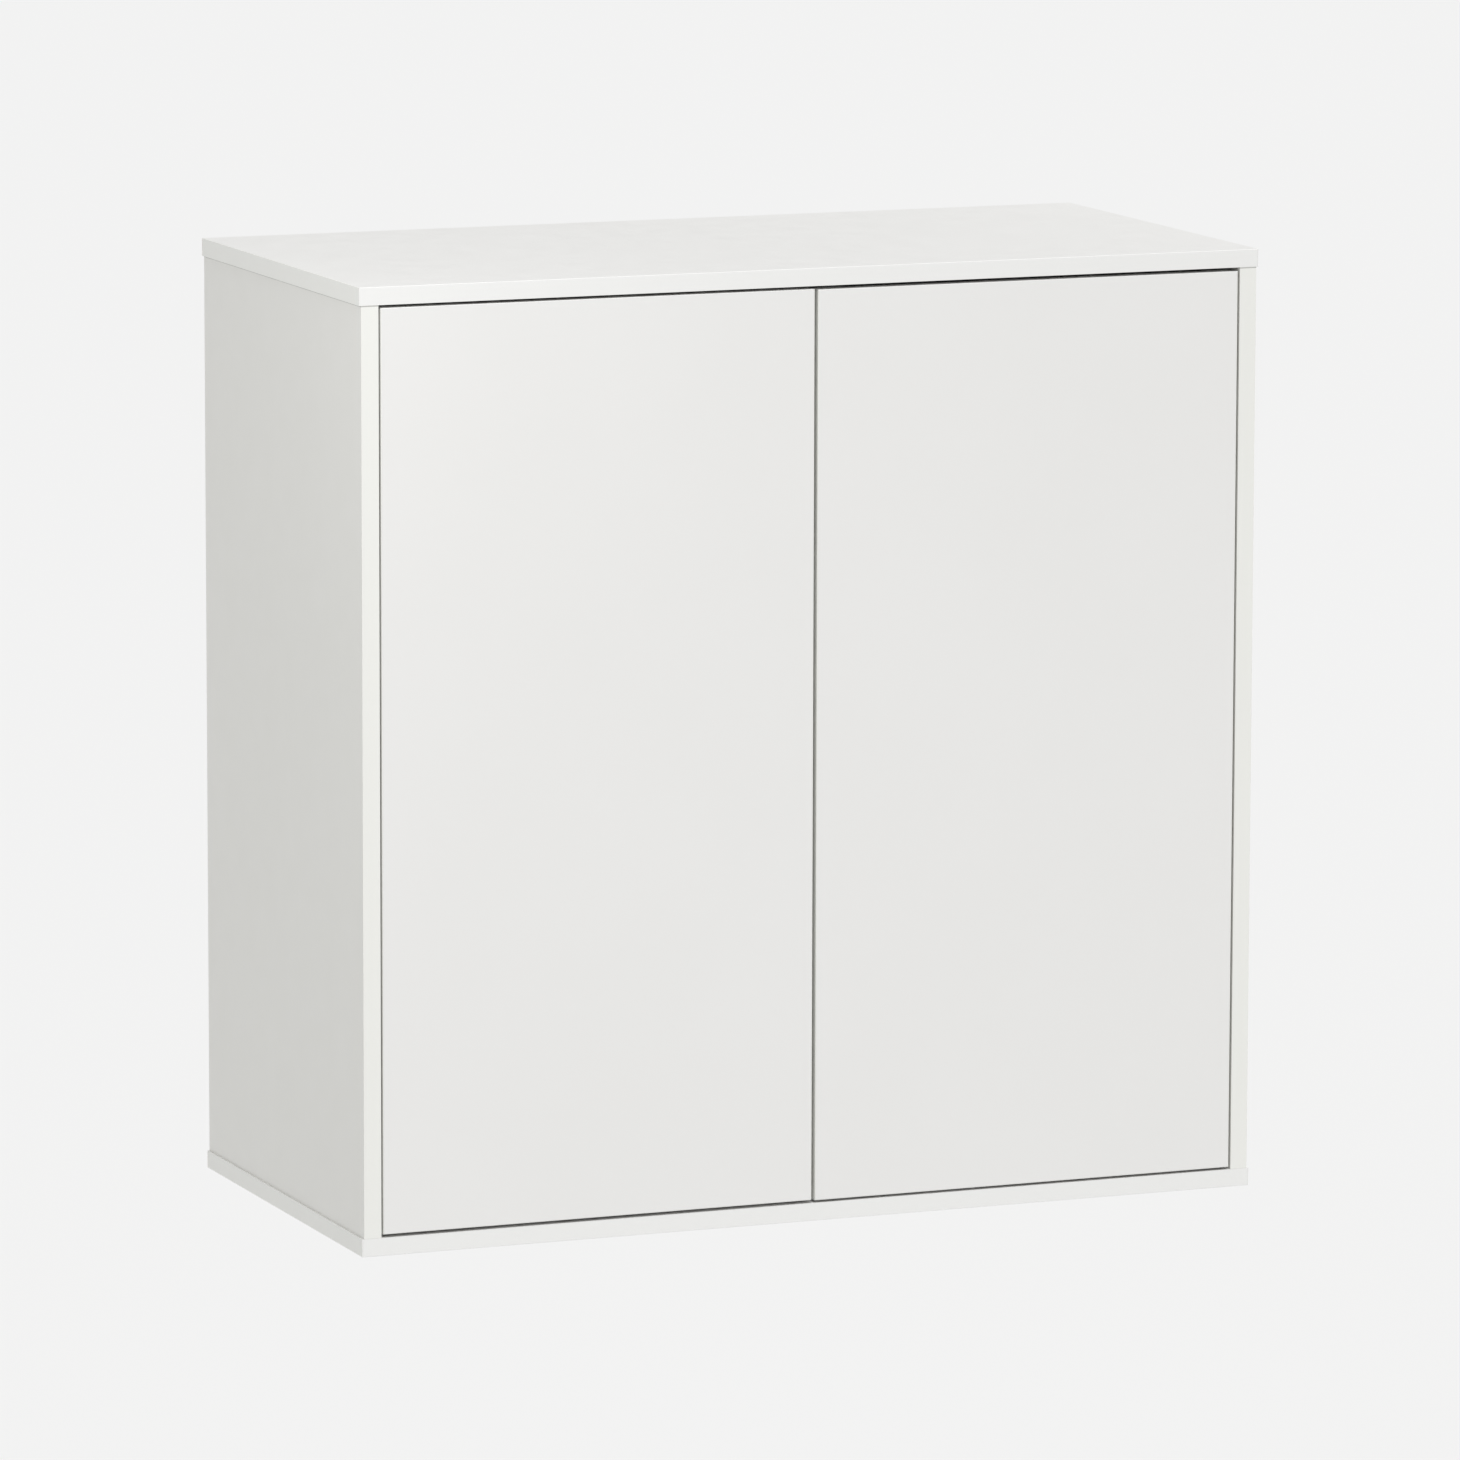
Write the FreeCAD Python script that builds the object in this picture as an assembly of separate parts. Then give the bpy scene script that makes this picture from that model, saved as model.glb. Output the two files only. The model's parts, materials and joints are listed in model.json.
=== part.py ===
"""Hanging wall cabinet with two inset doors on concealed hinges, and push latches.

Millimetres. +X runs right, +Y runs back to the wall and +Z runs up. The origin is the centre
of the four wall-screw holes, in the plane of the wall. Most places are given by three
distances: u from the inner face of the side panel that the piece belongs to, towards the
middle of the cabinet; v back from the front face; and z.
"""
import FreeCAD, Part
import os

# Overall sizes
WIDTH = 800.0
HEIGHT = 800.0
DEPTH = 390.0

# Boards
BOARD = 15.0
OVERHANG = 1.75            # top and bottom panels stand past the side panels by this much
BACK_THICKNESS = 3.0
RAIL_THICKNESS = 15.0
RAIL_HEIGHT = 80.0
GROOVE_DEPTH = 6.0
GROOVE_PLAY = 0.1          # each side of the back panel
GROOVE_END_PLAY = 1.0
EDGE_ROUND = 0.6           # small rounding of the carcass's outer edges

# Doors
DOOR_THICKNESS = 15.0
DOOR_SIDE_GAP = 1.75
DOOR_MIDDLE_GAP = 3.0
DOOR_END_GAP = 2.6
DOOR_ROUND = 1.0
LEFT_DOOR_RAISE = 0.1      # how the hinges' height adjustment happens to stand
RIGHT_DOOR_RAISE = -0.5

# Rows of shelf holes
HOLE_PITCH = 32.0
HOLE_SETBACK = 37.0
HOLE_RADIUS = 2.5
HOLE_DEPTH = 11.0
HOLE_END_MARGIN = 60.0     # least distance from a shelf hole to the top or bottom panel

# Shelves
SHELF_THICKNESS = 15.0
BAYS = 3                   # the two shelves stand at the nearest holes to even bays
SHELF_DOOR_GAP = 9.0       # clear of the doors' back edges as they swing
SHELF_SIDE_PLAY = 1.0
SHELF_BACK_PLAY = 2.0
PIN_REACH = 9.0
PIN_COLLAR_RADIUS = 4.0
PIN_COLLAR = 1.2

# Corner joints
CAM_RADIUS = 7.5
CAM_DEPTH = 12.5
CAM_PLAY = 0.1
CAM_FROM_END = 34.0
CAM_FROM_FRONT = 70.0
CAM_FROM_BACK = 80.0
CAM_RECESS = 2.5
CAM_SLOT_WIDTH = 1.4
CAM_SLOT_LENGTH = 7.5
CAP_RADIUS = 8.8
CAP_THICKNESS = 1.0
CAP_ROUND = 0.5
CAP_STUB_RADIUS = 1.2
CAP_STUB_LENGTH = 1.5
BOLT_HOLE_RADIUS = 4.0
BOLT_RADIUS = 2.5
BOLT_HEAD_RADIUS = 3.4
BOLT_HEAD_LENGTH = 4.0
BOLT_THREAD = 11.0
DOWEL_RADIUS = 4.0
DOWEL_LENGTH = 30.0
DOWEL_IN_FACE = 10.0       # how much of a dowel sits in the face that it enters
DOWEL_END_PLAY = 1.0
DOWEL_FROM_CAM = 32.0
RAIL_DOWEL_FROM_EDGE = 20.0
RAIL_DOWEL_RADIUS = 3.0

# Wall fixing
WALL_HOLE_RADIUS = 4.0
WALL_HOLE_SPACING = 600.0

# Hinges: PIVOT_U is the u of the hinge pin, and the cup is let into the door
HINGE_END_MARGIN = 75.0    # least distance from a hinge to the top or bottom panel
PIVOT_U = 11.0
CUP_RADIUS = 17.5
CUP_DEPTH = 12.2
CUP_EDGE_DISTANCE = 3.0    # from the door's edge to the cup
CUP_FLOOR = 0.8
KNUCKLE_FLOOR_GAP = 0.4    # between the arm's knuckle and the cup's floor
POCKET_HALF_HEIGHT = 6.6
POCKET_KNUCKLE_ROOM = 2.8  # from the hinge pin's axis to the pocket's near wall
POCKET_FAR_WALL = 3.0
POCKET_ROUND = 2.0
FLANGE_THICKNESS = 1.2
FLANGE_LIP = 1.1
FLANGE_EAR_RADIUS = 6.5
CUP_SCREW_OFFSET = 9.5
CUP_SCREW_HALF_SPACING = 22.5
HINGE_PIN_RADIUS = 1.3
HINGE_PIN_HALF_LENGTH = 9.5
HINGE_PIN_PLAY = 0.05
KNUCKLE_RADIUS = 2.0
TONGUE_HALF_HEIGHT = 5.0
TONGUE_ABOVE_PIN = 0.9
SWING_CLEARANCE = 0.8      # between the door's swinging back edge and the arm
ARM_COLUMN = 3.2
ARM_BEND_GAP = 6.0         # from the door's back to the bend in the arm
ARM_CRANK = 12.0           # from the bend to the straight part of the arm
ARM_THICKNESS = 2.0
ARM_HALF_HEIGHT = 9.2
ARM_SIDE = 1.2
ARM_SIDE_DEPTH = 6.0
ARM_END_ROUND = 3.0
ARM_BEND_ROUND = 2.0
ARM_END_V = 82.0
ARM_SCREW_V = 69.0
ADJUSTER_V = 53.0
PLATE_THICKNESS = 2.0
PLATE_RIB_TOP = 8.0
PLATE_RIB_HALF_HEIGHT = 7.4
PLATE_START_V = 28.0
PLATE_RIB_START_V = 42.5
PLATE_END_V = 84.0
PLATE_WING_HALF_WIDTH = 9.0
PLATE_WING_END = 11.0      # the wing runs this far past its screw
PLATE_SLOT_HALF_LENGTH = 2.0
PLATE_ROUND = 2.5
WING_ROUND = 5.0

# Screws: head radius, head height, shank radius, shank length
PLATE_SCREW = (4.0, 1.6, 2.5, 12.5)
CUP_SCREW = (3.9, 1.6, 1.8, 11.0)
ARM_SCREW = (3.8, 2.0, 2.5, 7.0)
ADJUSTER_SCREW = (3.0, 1.6, 2.0, 5.0)
LATCH_SCREW = (3.2, 1.5, 1.5, 13.0)
STRIKE_SCREW = (2.6, 1.0, 1.3, 9.0)
SCREW_RECESS = 0.6         # depth of the cross recess, as a share of the head's height
SCREW_RECESS_SPAN = 0.62   # its span, as a share of the head's radius
SCREW_RECESS_WIDTH = 0.9
SCREW_HEAD_ROUND = 0.5     # rounding of the head's rim, as a share of the head's height
SCREW_TIP = 0.33           # radius of the tip, as a share of the shank's radius

# Push latches under the top panel
LATCH_FROM_MIDDLE = 20.0
LATCH_DROP = 9.0
LATCH_HALF_WIDTH = 6.5
LATCH_HALF_HEIGHT = 6.5
LATCH_LENGTH = 60.0
HOUSING_ROUND = 2.2
LATCH_TRAVEL = 2.5         # how far a plunger can be pushed in
LATCH_TRAVEL_SPARE = 0.8
LATCH_GAP = 0.3
LATCH_LUG_LENGTH = 11.0
LATCH_LUG_THICKNESS = 3.0
LATCH_LUG_V = (14.0, 46.0)  # middles of the two lugs, back from the housing's front
PLUNGER_RADIUS = 4.0
PLUNGER_PLAY = 0.05
PLUNGER_LENGTH = 36.0      # inside the housing, in front of its collar
COLLAR_RADIUS = 4.8
COLLAR_LENGTH = 4.0
CHAMBER_RADIUS = 5.0
COLLAR_STOP_GAP = 0.3
MAGNET_RADIUS = 4.5
MAGNET_THICKNESS = 2.0
MAGNET_ROUND = 0.5
PLUG_LENGTH = 4.0
SPRING_RADIUS = 3.7
SPRING_WIRE_RADIUS = 0.4
SPRING_TURNS = 6
STRIKE_HALF_SIZE = 5.4
STRIKE_THICKNESS = 1.0
STRIKE_ROUND = 1.8
STRIKE_SCREW_CLEARANCE = 0.4  # between a screw's head and the magnet
STRIKE_END = 0.8             # plate past a screw's head

# Worked out from the sizes above
HALF_HEIGHT = HEIGHT / 2
HALF_INSIDE_HEIGHT = HALF_HEIGHT - BOARD
HALF_OUTSIDE = WIDTH / 2 - OVERHANG
HALF_INSIDE = HALF_OUTSIDE - BOARD
DOOR_WIDTH = HALF_INSIDE - DOOR_SIDE_GAP - DOOR_MIDDLE_GAP / 2
DOOR_HALF_HEIGHT = HALF_INSIDE_HEIGHT - DOOR_END_GAP
RAIL_FRONT = DEPTH - RAIL_THICKNESS
BACK_PANEL_BACK = RAIL_FRONT - GROOVE_PLAY
BACK_PANEL_FRONT = BACK_PANEL_BACK - BACK_THICKNESS
BACK_ROW_V = BACK_PANEL_FRONT - HOLE_SETBACK
BOARD_MIDDLE = -BOARD / 2
CAM_PLACES = (CAM_FROM_FRONT, DEPTH - CAM_FROM_BACK)
DOWEL_PLACES = (CAM_FROM_FRONT + DOWEL_FROM_CAM, DEPTH - CAM_FROM_BACK - DOWEL_FROM_CAM)
RAIL_DOWEL_V = DEPTH - RAIL_THICKNESS / 2
WALL_HOLE_Z = HALF_INSIDE_HEIGHT - RAIL_HEIGHT / 2
RAIL_DOWEL_HEIGHTS = (
    HALF_INSIDE_HEIGHT - RAIL_DOWEL_FROM_EDGE,
    HALF_INSIDE_HEIGHT - RAIL_HEIGHT + RAIL_DOWEL_FROM_EDGE,
)
SHELF_FRONT_V = DOOR_THICKNESS + SHELF_DOOR_GAP
SHELF_STEP = round(HALF_INSIDE_HEIGHT / BAYS / HOLE_PITCH)
SHELF_HOLE_STEPS = (-SHELF_STEP, SHELF_STEP)
HOLE_COUNT = int((HALF_INSIDE_HEIGHT - HOLE_END_MARGIN) // HOLE_PITCH)
HOLE_HEIGHTS = [step * HOLE_PITCH for step in range(-HOLE_COUNT, HOLE_COUNT + 1)]
HINGE_STEPS = (HALF_INSIDE_HEIGHT - HINGE_END_MARGIN - HOLE_PITCH / 2) // HOLE_PITCH + 0.5
HINGE_HEIGHTS = (-HINGE_STEPS * HOLE_PITCH, HINGE_STEPS * HOLE_PITCH)
CUP_U = DOOR_SIDE_GAP + CUP_EDGE_DISTANCE + CUP_RADIUS
CUP_BOTTOM_V = DOOR_THICKNESS - CUP_DEPTH
CUP_SCREW_U = CUP_U + CUP_SCREW_OFFSET
PIVOT_V = CUP_BOTTOM_V + CUP_FLOOR + KNUCKLE_RADIUS + KNUCKLE_FLOOR_GAP
FLANGE_TOP_V = DOOR_THICKNESS + FLANGE_THICKNESS
EDGE_REACH = ((PIVOT_U - DOOR_SIDE_GAP) ** 2 + (DOOR_THICKNESS - PIVOT_V) ** 2) ** 0.5
COLUMN_U = PIVOT_U + EDGE_REACH + SWING_CLEARANCE
COLUMN_END_U = COLUMN_U + ARM_COLUMN
ARM_U = PLATE_RIB_TOP
ARM_BEND_V = DOOR_THICKNESS + ARM_BEND_GAP
ARM_START_V = ARM_BEND_V + ARM_CRANK
ARM_TOP_U = ARM_U + ARM_THICKNESS
LATCH_Z = HALF_INSIDE_HEIGHT - LATCH_DROP
LATCH_U = HALF_INSIDE - LATCH_FROM_MIDDLE
STRIKE_SCREW_OFFSET = MAGNET_RADIUS + STRIKE_SCREW_CLEARANCE + STRIKE_SCREW[0]
STRIKE_HALF_WIDTH = STRIKE_SCREW_OFFSET + STRIKE_SCREW[0] + STRIKE_END
STRIKE_BACK_V = DOOR_THICKNESS + STRIKE_THICKNESS
MAGNET_FRONT_V = STRIKE_BACK_V + LATCH_GAP
PLUNGER_FRONT_V = MAGNET_FRONT_V + MAGNET_THICKNESS
HOUSING_FRONT_V = PLUNGER_FRONT_V + LATCH_TRAVEL + LATCH_TRAVEL_SPARE
HOUSING_BACK_V = HOUSING_FRONT_V + LATCH_LENGTH
COLLAR_FRONT_V = HOUSING_FRONT_V + PLUNGER_LENGTH
COLLAR_BACK_V = COLLAR_FRONT_V + COLLAR_LENGTH
CHAMBER_FRONT_V = COLLAR_FRONT_V - COLLAR_STOP_GAP
PLUG_FRONT_V = HOUSING_BACK_V - PLUG_LENGTH

LEFT = -1
RIGHT = 1
SIDES = {"left": LEFT, "right": RIGHT}
DOOR_RAISE = {LEFT: LEFT_DOOR_RAISE, RIGHT: RIGHT_DOOR_RAISE}
UP = FreeCAD.Vector(0, 0, 1)
NEARLY_ALONG = 0.9  # cosine above which an edge counts as running along a direction
BACKWARD = FreeCAD.Vector(0, 1, 0)


def place(side, u, v, z):
    """The point at u from a side panel's inner face, v behind the front and height z."""
    return FreeCAD.Vector(side * (HALF_INSIDE - u), v - DEPTH, z)


def inward(side):
    """The direction from a side panel towards the middle of the cabinet."""
    return FreeCAD.Vector(-side, 0, 0)


def block(side, u_range, v_range, z_range):
    """A box between two values each of u, v and z."""
    low = place(side, u_range[0], v_range[0], z_range[0])
    high = place(side, u_range[1], v_range[1], z_range[1])
    corner = FreeCAD.Vector(min(low.x, high.x), low.y, low.z)
    return Part.makeBox(abs(high.x - low.x), high.y - low.y, high.z - low.z, corner)


def wide_block(half_width, v_range, z_range):
    """A box as wide to the left of the middle as to the right."""
    corner = FreeCAD.Vector(-half_width, v_range[0] - DEPTH, z_range[0])
    return Part.makeBox(2 * half_width, v_range[1] - v_range[0], z_range[1] - z_range[0], corner)


def rod(start, direction, radius, length):
    return Part.makeCylinder(radius, length, start, direction)


def outline(side, points, z_middle, half_height):
    """An upright prism whose plan is a polygon of u, v points."""
    corners = [place(side, u, v, z_middle - half_height) for u, v in points]
    face = Part.Face(Part.makePolygon(corners + corners[:1]))
    return face.extrude(UP * (2 * half_height))


def fused(shapes):
    return shapes[0].multiFuse(shapes[1:]).removeSplitter()


def drilled(solid, tools):
    return solid.cut(tools) if tools else solid


def rounded_edges(solid, radius, wanted):
    """Round the edges for which wanted(middle point, direction) is true."""
    chosen = []
    for edge in solid.Edges:
        if edge.Curve.TypeId != "Part::GeomLine":
            continue
        direction = edge.tangentAt(edge.FirstParameter)
        if wanted(edge.CenterOfMass, direction):
            chosen.append(edge)
    return solid.makeFillet(radius, chosen)


def runs_across(middle, along):
    """Whether an edge runs from the left of the cabinet to the right."""
    return abs(along.x) > NEARLY_ALONG


def circles(solid):
    return [edge for edge in solid.Edges if edge.Curve.TypeId == "Part::GeomCircle"]


def screw(seat, direction, sizes):
    """A pan-head screw whose head stands on seat and whose shank runs along direction."""
    head_radius, head_height, shank_radius, shank_length = sizes
    tip_length = shank_radius
    head = Part.makeCylinder(head_radius, head_height)
    rim = [edge for edge in circles(head) if edge.CenterOfMass.z > head_height / 2]
    head = head.makeFillet(head_height * SCREW_HEAD_ROUND, rim)
    down = FreeCAD.Vector(0, 0, -1)
    straight = shank_length - tip_length
    shank = Part.makeCylinder(shank_radius, straight, FreeCAD.Vector(), down)
    tip_start = FreeCAD.Vector(0, 0, -straight)
    tip = Part.makeCone(shank_radius, shank_radius * SCREW_TIP, tip_length, tip_start, down)
    span = head_radius * SCREW_RECESS_SPAN
    recess_depth = head_height * SCREW_RECESS
    floor = head_height - recess_depth
    half_slot = SCREW_RECESS_WIDTH / 2
    slot_corner = FreeCAD.Vector(-span, -half_slot, floor)
    slot = Part.makeBox(2 * span, 2 * half_slot, recess_depth, slot_corner)
    cross_corner = FreeCAD.Vector(-half_slot, -span, floor)
    cross = Part.makeBox(2 * half_slot, 2 * span, recess_depth, cross_corner)
    whole = fused([head, shank, tip]).cut([slot, cross])
    turn = FreeCAD.Rotation(down, direction)
    whole.Placement = FreeCAD.Placement(seat, turn)
    return whole


def save(name, solids):
    """Write one node: a single solid, or a group of separate ones."""
    shape = solids[0] if len(solids) == 1 else Part.makeCompound(solids)
    shape.exportStep("parts/" + name + ".step")


# ---------------------------------------------------------------- carcass


def cam_axis(side, level, v):
    """Where a cam sits: the middle of its mouth, in the side panel's inner face."""
    return place(side, 0, v, level * (HALF_INSIDE_HEIGHT - CAM_FROM_END))


def end_panel(level):
    """The top panel (level 1) or the bottom panel (level -1), with its holes and its groove."""
    near = level * HALF_INSIDE_HEIGHT
    far = level * HALF_HEIGHT
    panel = wide_block(WIDTH / 2, (0, DEPTH), (min(near, far), max(near, far)))
    outer = HALF_HEIGHT - EDGE_ROUND
    panel = rounded_edges(panel, EDGE_ROUND, lambda middle, along: abs(middle.z) > outer)
    groove_floor = level * (HALF_INSIDE_HEIGHT + GROOVE_DEPTH)
    groove_width = HALF_INSIDE + GROOVE_DEPTH
    groove_v = (BACK_PANEL_FRONT - GROOVE_PLAY, BACK_PANEL_BACK + GROOVE_PLAY)
    tools = [wide_block(groove_width, groove_v, (min(near, groove_floor), max(near, groove_floor)))]
    outward = UP * level
    for side in SIDES.values():
        for v in CAM_PLACES:
            tools.append(rod(place(side, BOARD_MIDDLE, v, near), outward, BOLT_RADIUS, BOLT_THREAD))
        for v in DOWEL_PLACES:
            depth = DOWEL_IN_FACE + DOWEL_END_PLAY / 2
            tools.append(rod(place(side, BOARD_MIDDLE, v, near), outward, DOWEL_RADIUS, depth))
    if level == 1:
        for side in SIDES.values():
            for seat in latch_screw_seats(side):
                start = FreeCAD.Vector(seat.x, seat.y, near)
                depth = LATCH_SCREW[3] - LATCH_LUG_THICKNESS
                tools.append(rod(start, UP, LATCH_SCREW[2], depth))
    return drilled(panel, tools)


def side_panel(side):
    """A side panel, with its groove, cam bores, dowel holes and two rows of shelf holes."""
    panel = block(side, (-BOARD, 0), (0, DEPTH), (-HALF_INSIDE_HEIGHT, HALF_INSIDE_HEIGHT))
    groove_v = (BACK_PANEL_FRONT - GROOVE_PLAY, BACK_PANEL_BACK + GROOVE_PLAY)
    tools = [block(side, (-GROOVE_DEPTH, 0), groove_v, (-HALF_INSIDE_HEIGHT, HALF_INSIDE_HEIGHT))]
    outward = -inward(side)
    for z in HOLE_HEIGHTS:
        for v in (HOLE_SETBACK, BACK_ROW_V):
            tools.append(rod(place(side, 0, v, z), outward, HOLE_RADIUS, HOLE_DEPTH))
    for height in HINGE_HEIGHTS:
        for z in (height - HOLE_PITCH / 2, height + HOLE_PITCH / 2):
            tools.append(rod(place(side, 0, HOLE_SETBACK, z), outward, PLATE_SCREW[2], HOLE_DEPTH))
    for level in (-1, 1):
        end = level * HALF_INSIDE_HEIGHT
        to_middle = UP * -level
        for v in CAM_PLACES:
            tools.append(rod(cam_axis(side, level, v), outward, CAM_RADIUS, CAM_DEPTH))
            bolt_hole_start = place(side, BOARD_MIDDLE, v, end)
            tools.append(rod(bolt_hole_start, to_middle, BOLT_HOLE_RADIUS, CAM_FROM_END))
        for v in DOWEL_PLACES:
            depth = DOWEL_LENGTH - DOWEL_IN_FACE + DOWEL_END_PLAY / 2
            tools.append(rod(place(side, BOARD_MIDDLE, v, end), to_middle, DOWEL_RADIUS, depth))
        for height in RAIL_DOWEL_HEIGHTS:
            depth = DOWEL_IN_FACE + DOWEL_END_PLAY / 2
            start = place(side, 0, RAIL_DOWEL_V, level * height)
            tools.append(rod(start, outward, RAIL_DOWEL_RADIUS, depth))
    return drilled(panel, tools)


def wall_holes(level, v_range):
    """The holes of one rail for the screws that go into the wall."""
    holes = []
    for side in SIDES.values():
        start = FreeCAD.Vector(side * WALL_HOLE_SPACING / 2, v_range[0] - DEPTH, level * WALL_HOLE_Z)
        holes.append(rod(start, BACKWARD, WALL_HOLE_RADIUS, v_range[1] - v_range[0]))
    return holes


def rail(level):
    """A rail across the back, behind the back panel."""
    outer = level * HALF_INSIDE_HEIGHT
    inner = level * (HALF_INSIDE_HEIGHT - RAIL_HEIGHT)
    board = wide_block(HALF_INSIDE, (RAIL_FRONT, DEPTH), (min(outer, inner), max(outer, inner)))
    tools = wall_holes(level, (RAIL_FRONT, DEPTH))
    for side in SIDES.values():
        for height in RAIL_DOWEL_HEIGHTS:
            depth = DOWEL_LENGTH - DOWEL_IN_FACE + DOWEL_END_PLAY / 2
            start = place(side, 0, RAIL_DOWEL_V, level * height)
            tools.append(rod(start, inward(side), RAIL_DOWEL_RADIUS, depth))
    return drilled(board, tools)


def back_panel():
    half_width = HALF_INSIDE + GROOVE_DEPTH - GROOVE_END_PLAY
    half_height = HALF_INSIDE_HEIGHT + GROOVE_DEPTH - GROOVE_END_PLAY
    sheet = wide_block(half_width, (BACK_PANEL_FRONT, BACK_PANEL_BACK), (-half_height, half_height))
    tools = []
    for level in (-1, 1):
        tools += wall_holes(level, (BACK_PANEL_FRONT, BACK_PANEL_BACK))
    return drilled(sheet, tools)


def shelf(step):
    """A loose shelf that lies on the pins in the holes of one step."""
    underside = step * HOLE_PITCH + HOLE_RADIUS
    v_range = (SHELF_FRONT_V, BACK_PANEL_FRONT - SHELF_BACK_PLAY)
    board = wide_block(HALF_INSIDE - SHELF_SIDE_PLAY, v_range, (underside, underside + SHELF_THICKNESS))
    return rounded_edges(board, EDGE_ROUND, runs_across)


def shelf_pins():
    """A pin with a thin collar in each hole under a shelf's four corners."""
    pins = []
    for step in SHELF_HOLE_STEPS:
        for side in SIDES.values():
            for v in (HOLE_SETBACK, BACK_ROW_V):
                z = step * HOLE_PITCH
                shaft_start = place(side, -HOLE_DEPTH + DOWEL_END_PLAY, v, z)
                shaft_length = HOLE_DEPTH - DOWEL_END_PLAY + PIN_REACH
                shaft = rod(shaft_start, inward(side), HOLE_RADIUS, shaft_length)
                collar = rod(place(side, 0, v, z), inward(side), PIN_COLLAR_RADIUS, PIN_COLLAR)
                room_v = (v - PIN_COLLAR_RADIUS, v + PIN_COLLAR_RADIUS)
                room_z = (z + HOLE_RADIUS, z + 2 * PIN_COLLAR_RADIUS)
                room = block(side, (0, PIN_COLLAR + PIN_REACH), room_v, room_z)
                pins.append(fused([shaft, collar]).cut(room))
    return pins


def corner_dowels():
    dowels = []
    for side in SIDES.values():
        for level in (-1, 1):
            for v in DOWEL_PLACES:
                start = place(side, BOARD_MIDDLE, v, level * (HALF_INSIDE_HEIGHT + DOWEL_IN_FACE))
                dowels.append(rod(start, UP * -level, DOWEL_RADIUS, DOWEL_LENGTH))
    return dowels


def rail_dowels():
    dowels = []
    for side in SIDES.values():
        for level in (-1, 1):
            for height in RAIL_DOWEL_HEIGHTS:
                start = place(side, -DOWEL_IN_FACE, RAIL_DOWEL_V, level * height)
                dowels.append(rod(start, inward(side), RAIL_DOWEL_RADIUS, DOWEL_LENGTH))
    return dowels


def cam_bolt(side, level, v):
    """A bolt that is screwed into the top or bottom panel and reaches into a cam."""
    face = place(side, BOARD_MIDDLE, v, level * HALF_INSIDE_HEIGHT)
    to_middle = UP * -level
    neck_length = CAM_FROM_END - BOLT_HEAD_LENGTH / 2
    stem = rod(face + UP * level * (BOLT_THREAD - DOWEL_END_PLAY), to_middle, BOLT_RADIUS,
               BOLT_THREAD - DOWEL_END_PLAY + neck_length)
    head = rod(face + to_middle * neck_length, to_middle, BOLT_HEAD_RADIUS, BOLT_HEAD_LENGTH)
    return fused([stem, head])


def cam_lock(side, level, v):
    """A round cam with a channel for the bolt's head and a slot for a screwdriver."""
    outward = -inward(side)
    mouth = cam_axis(side, level, v)
    cam = rod(mouth, outward, CAM_RADIUS - CAM_PLAY, CAM_DEPTH - CAM_PLAY)
    channel_start = place(side, BOARD_MIDDLE, v, mouth.z - level * BOLT_HEAD_LENGTH)
    channel = rod(channel_start, UP * level, BOLT_HOLE_RADIUS, CAM_RADIUS + BOLT_HEAD_LENGTH)
    half_slot = CAM_SLOT_WIDTH / 2
    slot_v = (v - CAM_SLOT_LENGTH / 2, v + CAM_SLOT_LENGTH / 2)
    slot = block(side, (-CAM_RECESS, 0), slot_v, (mouth.z - half_slot, mouth.z + half_slot))
    stub_hole = rod(mouth, outward, CAP_STUB_RADIUS, CAM_RECESS)
    return cam.cut([channel, slot, stub_hole])


def cam_cap(side, level, v):
    """A thin cap that hides a cam."""
    mouth = cam_axis(side, level, v)
    disc = rod(mouth, inward(side), CAP_RADIUS, CAP_THICKNESS)
    outer = abs(mouth.x) - CAP_THICKNESS / 2
    rim = [edge for edge in circles(disc) if abs(edge.CenterOfMass.x) < outer]
    disc = disc.makeFillet(CAP_ROUND, rim)
    stub = rod(mouth, -inward(side), CAP_STUB_RADIUS, CAP_STUB_LENGTH)
    return fused([disc, stub])


def at_each_cam(make):
    places = [(side, level, v) for side in SIDES.values() for level in (-1, 1) for v in CAM_PLACES]
    return [make(side, level, v) for side, level, v in places]


# ---------------------------------------------------------------- doors and hinges


def hinge_heights(side):
    """The heights of a door's hinges, as its height adjustment stands."""
    return [height + DOOR_RAISE[side] for height in HINGE_HEIGHTS]


def cup_screw_seats(side):
    seats = []
    for height in hinge_heights(side):
        for offset in (-CUP_SCREW_HALF_SPACING, CUP_SCREW_HALF_SPACING):
            seats.append(place(side, CUP_SCREW_U, FLANGE_TOP_V, height + offset))
    return seats


def strike_screw_seats(side):
    seats = []
    for offset in (-STRIKE_SCREW_OFFSET, STRIKE_SCREW_OFFSET):
        seats.append(place(side, LATCH_U + offset, STRIKE_BACK_V, LATCH_Z))
    return seats


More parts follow.
